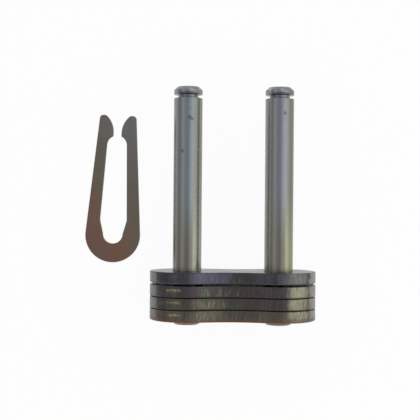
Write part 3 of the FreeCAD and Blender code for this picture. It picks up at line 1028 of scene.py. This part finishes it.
def reflection_and_foot(steel, colour, painted_end_reflection, foot, seed):
    """The painted reflection on the right end, in ragged patches, and the tint along the lower
    rim.
    """
    tree, parts = steel.tree, steel.parts
    ragged = noise_in_mm(tree, steel.slanted, PATCH_GRAIN, seed + PATCH_SEED, detail=4.0)
    patches = product(tree, steel.wall,
                      spread(tree, smooth_step(tree, ragged, *PATCH_NOISE), *PATCH_SHARES))
    # The right end's patches are a painted reflection of the light from the right.
    colour = tint_stretches(steel, colour, parts[0], [painted_end_reflection], seed + END_REFLECTION_SEED, patches)
    return tint_stretches(steel, colour, parts[2], [foot], seed + FOOT_SEED,
                          spread(tree, steel.wall, *FOOT_SHARES))


# %% [markdown]
# Stamping leaves fine lines across the whole wall, and where the plate tore away, some of them are
# bright and broken: bare torn steel, lightened further as painted glints. The plates have also
# rubbed on each other, which leaves short bright lines that run the other way, at one place on the
# left lobe; their brightness is partly a painted glint.

# %% Torn and rubbed lines, with painted glints
WHITE = (1.0, 1.0, 1.0)
STREAK_NOISE = (0.34, 0.68)
STREAK_LEVELS = (0.86, 1.15)
BREAK_GRAIN = (1.2, 1.2, 0.9)
BREAK_NOISE = (0.36, 0.52)
BREAK_SEED = 4.0
BRIGHT_NOISE = (0.50, 0.60)
# Bare torn steel with a painted glint.
TORN_GLINT_STEEL = (0.200, 0.195, 0.155)
# Rub marks on the left lobe, painted bright as glints.
RUB_GLINT_GRAIN = (1.3, 1.3, 6.0)
RUB_GLINT_NOISE = (0.46, 0.60)
RUB_GLINT_SEED = 9.0
RUB_GLINT_PLACE = (-13.2, -10.9, 0.5)
RUB_GLINT_LEVEL = (1.35, 1.75, 0.12)
RUB_GLINT_STEEL = (0.34, 0.31, 0.23)


def torn_lines(steel, colour, bright_share, seed):
    """Fine lines all along the wall, and bright broken ones where the plate tore, partly painted
    glints.
    """
    tree, lines = steel.tree, steel.lines
    streaks = spread(tree, smooth_step(tree, lines, *STREAK_NOISE), *STREAK_LEVELS)
    streaks = mix_colour(tree, steel.wall, WHITE, streaks)
    colour = mix_colour(tree, 1.0, colour, streaks, "MULTIPLY")
    broken = noise_in_mm(tree, steel.slanted, BREAK_GRAIN, seed + BREAK_SEED)
    bright = product(tree, steel.torn, smooth_step(tree, broken, *BREAK_NOISE),
                     smooth_step(tree, lines, *BRIGHT_NOISE), bright_share)
    # The torn lines' brightness is bare steel and a painted glint.
    return mix_colour(tree, bright, colour, TORN_GLINT_STEEL)


def rub_and_glint_lines(steel, colour, share, seed):
    """Short bright lines along the edge on the left lobe: rub marks, painted bright as glints."""
    tree, parts = steel.tree, steel.parts
    lines = noise_in_mm(tree, steel.place, RUB_GLINT_GRAIN, seed + RUB_GLINT_SEED)
    mask = product(tree, smooth_window(tree, parts[0], *RUB_GLINT_PLACE),
                   smooth_window(tree, parts[2], *RUB_GLINT_LEVEL),
                   smooth_step(tree, lines, *RUB_GLINT_NOISE), steel.wall, share)
    # The rub marks are lightened as painted glints.
    return mix_colour(tree, mask, colour, RUB_GLINT_STEEL)


# %% [markdown]
# One function lays these marks over a plate's own colours in order, from the oldest to the newest:
# furnace colours, painted tip highlights and dull stretches, the painted reflection on the right
# end, tears, and rub marks on top, both with painted glints. All plates share the painted
# highlights at their two tips and the place of the end reflection. The torn lines also go into the
# bump, which deepens what the wall's real shape already shows.

# %% Plate steel
# Painted highlights on the wall at both lobe tips, lighter at the right.
TIP_HIGHLIGHTS = [(-18.0, -16.0, 0.7, 0.85, (0.195, 0.190, 0.186)),
        (15.9, 18.0, 0.7, 0.9, (0.265, 0.258, 0.235))]
# Where the painted reflection of the light from the right lies on each plate's right end.
END_REFLECTION_BAND = (11.8, 14.3, 1.3, 1.0)
PLATE_MARKS = (2.0, 2.0, 0.6)
TEAR_BUMP = 3.0
PLATE_BUMP_MM = 0.02
PLATE_DULLING = (0.0, 0.12)
FACE_AND_WALL_ROUGHNESS = (0.24, 0.34)


def plate_material(look, seed):
    steel = new_plate_steel(look["node"] + "_steel", seed)
    tree = steel.tree
    colour = heat_film(steel, FILM_GRAIN, seed, look["bare"], look["cool"], look["warm"])
    # The tips get painted highlights, then the plate's own stretches follow.
    colour = tint_stretches(steel, colour, steel.parts[0], TIP_HIGHLIGHTS + look["stretches"], seed,
                            steel.wall)
    colour = reflection_and_foot(steel, colour, (*END_REFLECTION_BAND, look["end_reflection_tint"]), look["foot"], seed)
    colour = torn_lines(steel, colour, look["torn"], seed)
    colour = rub_and_glint_lines(steel, colour, look["rub_glint"], seed)
    height, dullness = marks_of(steel, PLATE_MARKS, seed)
    roughness = maths(tree, "ADD", spread(tree, dullness, *PLATE_DULLING),
                      spread(tree, steel.wall, *FACE_AND_WALL_ROUGHNESS))
    height = maths(tree, "ADD", height, product(tree, steel.torn, steel.lines, TEAR_BUMP))
    set_surface(steel, colour, roughness, height, PLATE_BUMP_MM)
    return steel.material


# %% [markdown]
# A pin is ground and polished after hardening, so it is the brightest steel here. A painted blue
# or violet sheen, the tint of what its top mirrors, runs along its middle towards the head, and
# its right side has a painted olive reflection of the light from the right. Each band lies along
# the pin, so it is a stretch across it, and it stops at the head's end face.

# %% Colours along a pin's shank
SHANK_FOOT = (0.200, 0.195, 0.172)
SHANK_HEAD = (0.230, 0.240, 0.240)
PIN_COOL = (0.20, 0.215, 0.235)
PIN_WARM = (0.215, 0.205, 0.17)
PIN_GRAIN = (0.30, 0.30, 0.035)
HEAD_HALF = (13.0, 28.0)
END_FACE = (PIN_TIP - 0.3, PIN_TIP - 0.05)
# A painted blue or violet sheen along the pin's top, near the head.
TOP_SHEEN_BAND = (-0.5, 1.2, 0.7, 0.8)
DUSK_BAND = (-0.1, 1.0, 0.5, 0.85, (0.158, 0.153, 0.135))
DUSK_SEED = 2.0
# A painted olive reflection of the light from the right, on the pin's right side.
OLIVE_REFLECTION_BAND = (1.45, 2.6, 0.5)
OLIVE_REFLECTION_AT_HEAD = (0.185, 0.19, 0.162)


def shank_colour(steel, top_sheen, olive_reflection, flank_highlight, seed):
    tree, parts = steel.tree, steel.parts
    near_head = smooth_step(tree, parts[2], *HEAD_HALF)
    bare = mix_colour(tree, near_head, SHANK_FOOT, SHANK_HEAD)
    colour = heat_film(steel, PIN_GRAIN, seed, bare, PIN_COOL, PIN_WARM)
    side = one_minus(tree, smooth_step(tree, parts[2], *END_FACE))
    # Painted sheen along the top, towards the head.
    colour = tint_stretches(steel, colour, parts[0], [(*TOP_SHEEN_BAND, top_sheen)], seed,
                            product(tree, near_head, side))
    colour = tint_stretches(steel, colour, parts[0], [DUSK_BAND], seed + DUSK_SEED,
                            one_minus(tree, near_head))
    # Painted olive reflection on the right side.
    share = product(tree, smooth_window(tree, parts[0], *OLIVE_REFLECTION_BAND), side)
    colour = mix_colour(tree, share, colour, mix_colour(tree, near_head, olive_reflection, OLIVE_REFLECTION_AT_HEAD))
    # Painted highlight on the flank that faces the other pin.
    return tint_stretches(steel, colour, parts[0], [flank_highlight], seed, side)


# %% [markdown]
# The riveted end is brown, the groove is grey, and the groove throws a short shade on the head.
# A few nicks and grazes sit where the real pins have them. A nick darkens or lightens the steel
# and also goes into the bump, as a dent; the light grazes on the heads are dents with a painted
# highlight.

# %% Pin steel
RIVET_FADE = (-0.4, 1.2)
RIVET_BROWN = (0.200, 0.125, 0.100)
GROOVE_END = PIN_TIP - HEAD_LENGTH
GROOVE_BAND = (GROOVE_END - GROOVE_WIDTH, GROOVE_END, 0.05)
GROOVE_GREY = (0.150, 0.158, 0.178)
SHADE_BAND = (GROOVE_END, GROOVE_END + 0.34, 0.16)
SHADE_ACROSS = (-1.3, 1.5, 0.9)
HEAD_SHADE = (0.095, 0.102, 0.120)
NICK_SHARE = 0.7
NICK_BUMP = 4.0
PIN_MARKS = (3.0, 3.0, 0.5)
PIN_BUMP_MM = 0.004
PIN_ROUGHNESS = (0.21, 0.31)


def end_colours(steel, colour):
    tree, parts = steel.tree, steel.parts
    rivet = one_minus(tree, smooth_step(tree, parts[2], *RIVET_FADE))
    colour = mix_colour(tree, rivet, colour, RIVET_BROWN)
    groove = smooth_window(tree, parts[2], *GROOVE_BAND)
    colour = mix_colour(tree, groove, colour, GROOVE_GREY)
    shade = product(tree, smooth_window(tree, parts[2], *SHADE_BAND),
                    smooth_window(tree, parts[0], *SHADE_ACROSS))
    return mix_colour(tree, shade, colour, HEAD_SHADE)


def pin_material(name, top_sheen, olive_reflection, flank_highlight, nicks, seed):
    steel = new_steel(name)
    tree = steel.tree
    colour = end_colours(steel, shank_colour(steel, top_sheen, olive_reflection, flank_highlight, seed))
    height, dullness = marks_of(steel, PIN_MARKS, seed)
    for centre, size, tint in nicks:
        dent = use_group(tree, nick, {"Place": steel.place, "Centre": centre, "Size": size})[0]
        colour = mix_colour(tree, product(tree, dent, NICK_SHARE), colour, tint)
        height = maths(tree, "SUBTRACT", height, product(tree, dent, NICK_BUMP))
    set_surface(steel, colour, spread(tree, dullness, *PIN_ROUGHNESS), height, PIN_BUMP_MM)
    return steel.material


# %% [markdown]
# Spring steel is tempered after hardening, and the heat leaves a run of colours, here from
# brown at the closed end to grey at the tips. A colour ramp along the clip holds that run.
# Noise bends the line that the ramp follows, because real temper colours never run straight.

# %% Clip steel
CLIP_BUMP_MM = 0.004
CLIP_ROUGHNESS = (0.26, 0.40)
CLIP_SEED = 4.0
CLIP_GRAIN = (0.30, 0.14, 0.22)
CLIP_MARKS = (3.0, 0.6, 3.0)
CLIP_COOL = (0.185, 0.165, 0.17)
CLIP_WARM = (0.165, 0.150, 0.105)
CLIP_FILM = 0.35
TEMPER_START = -10.0
TEMPER_END = 28.0
TEMPER_LEAN = 1.1
TEMPER_BEND = 11.0
TEMPER_GRAIN = (0.35, 0.35, 0.35)
TEMPER_COLOURS = [
    (TEMPER_START, (0.185, 0.115, 0.100)),
    (-2.0, (0.215, 0.120, 0.085)),
    (7.0, (0.17, 0.145, 0.11)),
    (15.0, (0.17, 0.15, 0.13)),
    (TEMPER_END, (0.19, 0.19, 0.19)),
]


def set_stops(ramp, stops):
    """Gives a new ramp its stops; each is (position, colour)."""
    for position, colour in stops[1:-1]:
        ramp.elements.new(position)
    for stop, (position, colour) in zip(ramp.elements, stops):
        stop.position = position
        stop.color = opaque(colour)


def clip_material():
    steel = new_steel("clip_steel")
    tree, parts = steel.tree, steel.parts
    lean = maths(tree, "ADD", parts[1], product(tree, parts[0], TEMPER_LEAN))
    bend = noise_in_mm(tree, steel.place, TEMPER_GRAIN, CLIP_SEED)
    lean = maths(tree, "ADD", lean, product(tree, maths(tree, "SUBTRACT", bend, 0.5), TEMPER_BEND))
    ramp = add_node(tree, "ShaderNodeValToRGB",
                    {0: share_between(tree, lean, TEMPER_START, TEMPER_END)})
    length = TEMPER_END - TEMPER_START
    set_stops(ramp.color_ramp,
              [((at - TEMPER_START) / length, tint) for at, tint in TEMPER_COLOURS])
    colour = heat_film(steel, CLIP_GRAIN, CLIP_SEED, ramp.outputs[0], CLIP_COOL, CLIP_WARM,
                       CLIP_FILM)
    height, dullness = marks_of(steel, CLIP_MARKS, CLIP_SEED)
    set_surface(steel, colour, spread(tree, dullness, *CLIP_ROUGHNESS), height, CLIP_BUMP_MM)
    return steel.material


clip_steel = clip_material()
print("clip steel:", len(clip_steel.node_tree.nodes), "nodes")

# %% [markdown]
# The four plates come from one tree, as the real ones come from one die. They differ in their
# bores and in what happened to them: the riveted plate is browner, the cover plate is bluer,
# and each has torn and discoloured stretches of its own. One row holds what is particular to
# a plate. Its stretches are (low, high, soft border, share, tint), in millimetres from the
# plate's middle, and its foot is the same, measured from the lower face.

# %% Plates
# The light olive stretches over the torn ranges, and from -13.2 to -10.6 on the left lobe, are
# partly painted glints. Each row also gives the colour of the painted reflection on the right end,
# and how strong the painted glints on its torn and rubbed lines are.
PLATES = [
    dict(node="outer_plate", body="pin_link", hole=PIN_RADIUS, tear=(-7.2, -3.2),
         torn=0.8, rub_glint=0.8,
         bare=(0.098, 0.088, 0.074), cool=(0.085, 0.083, 0.085), warm=(0.120, 0.092, 0.062),
         stretches=[(-13.2, -10.6, 0.8, 0.8, (0.115, 0.105, 0.075)),
                    (-6.8, -2.6, 0.8, 0.6, (0.13, 0.125, 0.098))],
         end_reflection_tint=(0.250, 0.236, 0.172), foot=(-0.2, 0.55, 0.5, 0.75, (0.150, 0.092, 0.066))),
    dict(node="lower_middle_plate", body="lower_middle", hole=LOOSE_HOLE, tear=(-8.0, -2.0),
         torn=0.7, rub_glint=0.6,
         bare=(0.072, 0.068, 0.064), cool=(0.075, 0.062, 0.070), warm=(0.098, 0.092, 0.060),
         stretches=[(-13.2, -10.6, 0.8, 0.7, (0.10, 0.094, 0.068)),
                    (-8.0, -2.2, 0.8, 0.6, (0.105, 0.10, 0.075)),
                    (2.6, 9.4, 1.2, 0.7, (0.082, 0.060, 0.066))],
         end_reflection_tint=(0.250, 0.238, 0.172), foot=(-0.2, 0.1, 0.3, 0.5, (0.080, 0.070, 0.055))),
    dict(node="upper_middle_plate", body="upper_middle", hole=LOOSE_HOLE, tear=(-6.0, 1.6),
         torn=0.55, rub_glint=0.9,
         bare=(0.068, 0.066, 0.066), cool=(0.075, 0.060, 0.070), warm=(0.092, 0.088, 0.066),
         stretches=[(-9.4, -7.4, 0.9, 0.55, (0.085, 0.056, 0.072)),
                    (-6.2, -2.8, 0.9, 0.5, (0.085, 0.090, 0.082)),
                    (0.6, 6.6, 1.4, 0.6, (0.072, 0.058, 0.062))],
         end_reflection_tint=(0.240, 0.245, 0.168), foot=(-0.2, 0.1, 0.3, 0.5, (0.080, 0.070, 0.055))),
    dict(node="cover_plate", body="cover", hole=LOOSE_HOLE, tear=(-2.2, 1.3),
         torn=0.3, rub_glint=0.1,
         bare=(0.062, 0.062, 0.070), cool=(0.085, 0.082, 0.115), warm=(0.065, 0.064, 0.066),
         stretches=[(-8.4, -1.0, 1.0, 0.9, (0.098, 0.095, 0.140)),
                    (9.2, 12.0, 0.8, 0.8, (0.100, 0.100, 0.118))],
         end_reflection_tint=(0.140, 0.140, 0.132), foot=(-0.2, 0.15, 0.3, 0.7, (0.110, 0.110, 0.095))),
]
for number, look in enumerate(PLATES, 1):
    foot_y = box_mm(look["node"])[0].y
    settings = {"Hole Radius": look["hole"], "Tear Start": look["tear"][0],
                "Tear End": look["tear"][1], "Seed": float(number),
                "Steel": plate_material(look, float(number))}
    mesh = mesh_from_tree(look["node"] + "_stamped", plate_tree, settings,
                          along_pins(foot_y, LINK_MIDDLE))
    add_piece(look["node"] + "_stamped", mesh, look["node"], look["body"])

# %% [markdown]
# The two pins share one turned shape. Their painted top sheens differ, bluish on the left and
# violet on the right, and so do the painted highlights on the flanks that face each other. Each
# nick is (centre, size, tint). Its centre is in the pin's own millimetres: across, downwards from
# the axis, and along the pin from the outer plate's face.

# %% Pins
DARK_NICK = (0.09, 0.09, 0.09)
STAIN = (0.26, 0.25, 0.30)
# Grazes on the heads: a dent whose light colour is a painted highlight.
GRAZE_GLINT = (0.42, 0.39, 0.42)
PINS = [
    dict(node="left_pin", middle=LEFT_PIN, seed=2.0,
         top_sheen=(0.200, 0.248, 0.280), olive_reflection=(0.250, 0.252, 0.205),
         flank_highlight=(2.25, 2.5, 0.25, 0.6, (0.33, 0.33, 0.28)),
         nicks=[((0.40, -2.95, 41.8), 0.46, DARK_NICK), ((0.95, -2.82, 41.5), 0.36, DARK_NICK),
                ((0.30, -2.96, 44.3), 0.70, STAIN), ((-1.10, -2.77, 34.8), 0.44, DARK_NICK),
                ((0.35, -2.90, 47.75), 0.42, GRAZE_GLINT), ((0.80, -2.84, 47.45), 0.40, GRAZE_GLINT)]),
    dict(node="right_pin", middle=RIGHT_PIN, seed=5.0,
         top_sheen=(0.215, 0.225, 0.285), olive_reflection=(0.255, 0.262, 0.165),
         flank_highlight=(-2.3, -2.0, 0.25, 0.9, (0.38, 0.38, 0.35)),
         nicks=[((0.90, -2.84, 42.8), 0.40, DARK_NICK), ((0.25, -2.95, 47.6), 0.50, GRAZE_GLINT)]),
]
for look in PINS:
    node = look["node"]
    steel = pin_material(node + "_steel", look["top_sheen"], look["olive_reflection"], look["flank_highlight"],
                         look["nicks"], look["seed"])
    mesh = mesh_from_tree(node + "_turned", pin_tree, {"Steel": steel},
                          along_pins(OUTER_FACE, look["middle"]))
    add_piece(node + "_turned", mesh, node, "pin_link")

# %% [markdown]
# The clip's mesh is ready, so it only needs its steel. It lies free beside the link, and in
# the simulation it belongs to the body of the riveted pins.

# %% Clip
clip_mesh.materials.append(clip_steel)
add_piece("spring_clip_punched", clip_mesh, "spring_clip", "pin_link")

# %% [markdown]
# The stage is a wide pale floor. The camera and the mirror images in the steel see it shine
# white, while for the light itself it is matt, so it still catches the object's soft shadow.
# Brighter lamps could whiten it too, but they would wash out the dark steel.

# %% Floor
FLOOR_HALF = 1.5
FLOOR_LEVEL = -0.02 * MM
FLOOR_GREY = (0.92, 0.92, 0.92)
SHINE_TO_CAMERA = 0.94


def floor_material():
    material = bpy.data.materials.new("pale_floor")
    material.use_nodes = True
    tree = material.node_tree
    tree.nodes.clear()
    rays = tree.nodes.new("ShaderNodeLightPath").outputs
    mirrored = maths(tree, "MAXIMUM", rays["Is Glossy Ray"], rays["Is Transmission Ray"])
    share = maths(tree, "MAXIMUM", product(tree, rays["Is Camera Ray"], SHINE_TO_CAMERA),
                  mirrored)
    matt = add_node(tree, "ShaderNodeBsdfDiffuse", {"Color": opaque(FLOOR_GREY)})
    white = add_node(tree, "ShaderNodeEmission", {"Color": opaque(WHITE), "Strength": 1.0})
    mix = add_node(tree, "ShaderNodeMixShader",
                   {0: share, 1: matt.outputs[0], 2: white.outputs[0]})
    add_node(tree, "ShaderNodeOutputMaterial", {0: mix.outputs[0]})
    return material


floor_mesh = bpy.data.meshes.new("floor")
floor_corners = [(x * FLOOR_HALF, y * FLOOR_HALF, FLOOR_LEVEL)
                 for x, y in ((-1, -1), (1, -1), (1, 1), (-1, 1))]
floor_mesh.from_pydata(floor_corners, [], [(0, 1, 2, 3)])
floor_mesh.materials.append(floor_material())
floor = add_object("floor", floor_mesh)
print("floor is %.0f m wide" % (2 * FLOOR_HALF))

# %% [markdown]
# Polished steel shows what it mirrors, and in plain even light the pins would look like flat
# grey strips. So the air around the stage is soft light that changes from left to right, as in
# a studio with a window on one side: dim, a faint band, dim again, then a broad bright band.
# The camera itself sees plain white. One soft lamp on the right adds a gentle side light.

# %% World and lamp
AIR_LEVELS = [(0.0, 0.60), (0.03, 0.46), (0.08, 0.56), (0.18, 1.02), (0.28, 0.70), (0.40, 0.60),
              (0.5, 0.62), (0.61, 0.72), (0.74, 0.86), (0.83, 1.00), (0.93, 1.38), (0.98, 1.02),
              (1.0, 0.66)]
LAMP_PLACE = (0.43, 0.0, 0.26)
LAMP_SIZE = (0.24, 0.90)
LAMP_RADIANCE = 0.5


def build_world():
    world = bpy.data.worlds.new("studio_air")
    bpy.context.scene.world = world
    world.use_nodes = True
    tree = world.node_tree
    tree.nodes.clear()
    direction = add_node(tree, "ShaderNodeTexCoord").outputs["Generated"]
    sideways = parts_of(tree, direction)[0]
    ramp = add_node(tree, "ShaderNodeValToRGB", {0: share_between(tree, sideways, -1.0, 1.0)})
    set_stops(ramp.color_ramp, [(at, (level, level, level)) for at, level in AIR_LEVELS])
    is_seen = tree.nodes.new("ShaderNodeLightPath").outputs["Is Camera Ray"]
    seen = mix_colour(tree, is_seen, ramp.outputs[0], WHITE)
    air = add_node(tree, "ShaderNodeBackground", {"Color": seen, "Strength": 1.0})
    add_node(tree, "ShaderNodeOutputWorld", {0: air.outputs[0]})


def add_softbox(name, place, size, radiance):
    """A rectangular soft lamp that looks at the middle of the stage."""
    lamp = bpy.data.lights.new(name, "AREA")
    lamp.shape = "RECTANGLE"
    lamp.size, lamp.size_y = size
    lamp.energy = radiance * math.pi * size[0] * size[1]
    holder = add_object(name, lamp)
    holder.location = place
    holder.rotation_euler = (-Vector(place)).to_track_quat("-Z", "Y").to_euler()


build_world()
add_softbox("right_softbox", LAMP_PLACE, LAMP_SIZE, LAMP_RADIANCE)
bpy.context.scene.view_settings.view_transform = "Standard"
print("stage is set")
